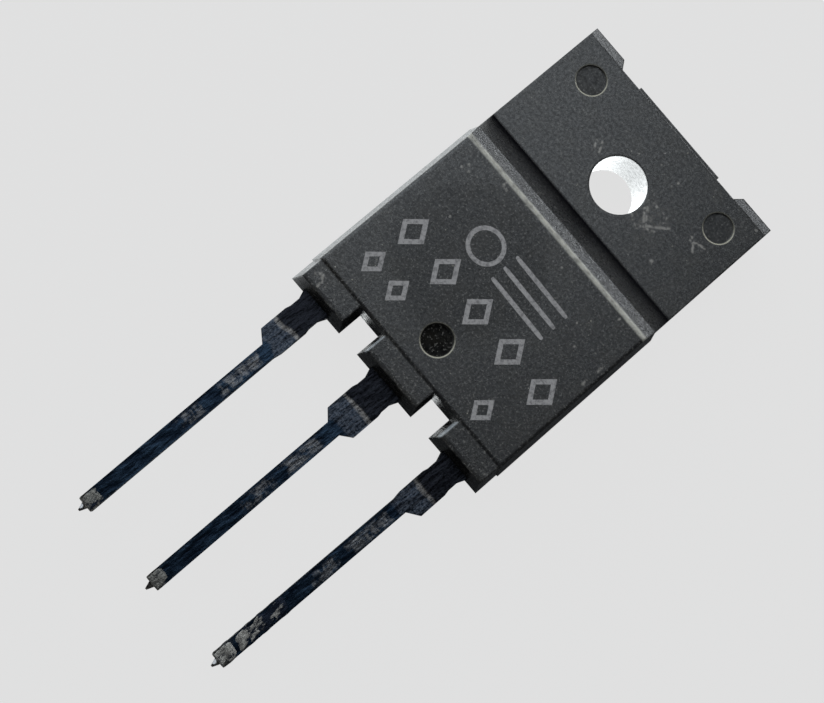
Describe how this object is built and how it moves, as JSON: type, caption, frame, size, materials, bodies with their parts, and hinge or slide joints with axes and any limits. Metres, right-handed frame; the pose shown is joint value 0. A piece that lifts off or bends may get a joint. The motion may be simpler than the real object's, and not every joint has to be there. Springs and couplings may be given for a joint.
{
  "type": "power transistor",
  "caption": "Fully moulded power transistor: black case with a stepped tab, screw hole, raised collars and flat leads that taper from wide shoulders to soldered tips.",
  "frame": {"origin": "on the axis of the mounting hole, at the back face", "axes": "+Z out of the front face, +Y along the package to the end of the tab, +X across to the emitter lead; the part lies on its back face"},
  "size_m": [0.0156, 0.0395, 0.0055],
  "materials": {
    "moulding": "moulded black epoxy with a fine grain and a soft sheen",
    "collector_metal": "copper alloy with dark dull plating, mottled with solder",
    "base_metal": "copper alloy with dark dull plating, mottled with solder",
    "emitter_metal": "copper alloy with dark dull plating and rough solder on its lower half",
    "silicon": "polished silicon chip",
    "solder": "dull solder",
    "bond_wire": "drawn aluminium"
  },
  "bodies": {
    "root": {"case": "moulding", "collector_frame": "collector_metal", "base_lead": "base_metal", "emitter_lead": "emitter_metal", "die": "silicon", "die_solder": "solder", "base_wire": "bond_wire", "emitter_wire": "bond_wire"}
  },
  "joints": []
}
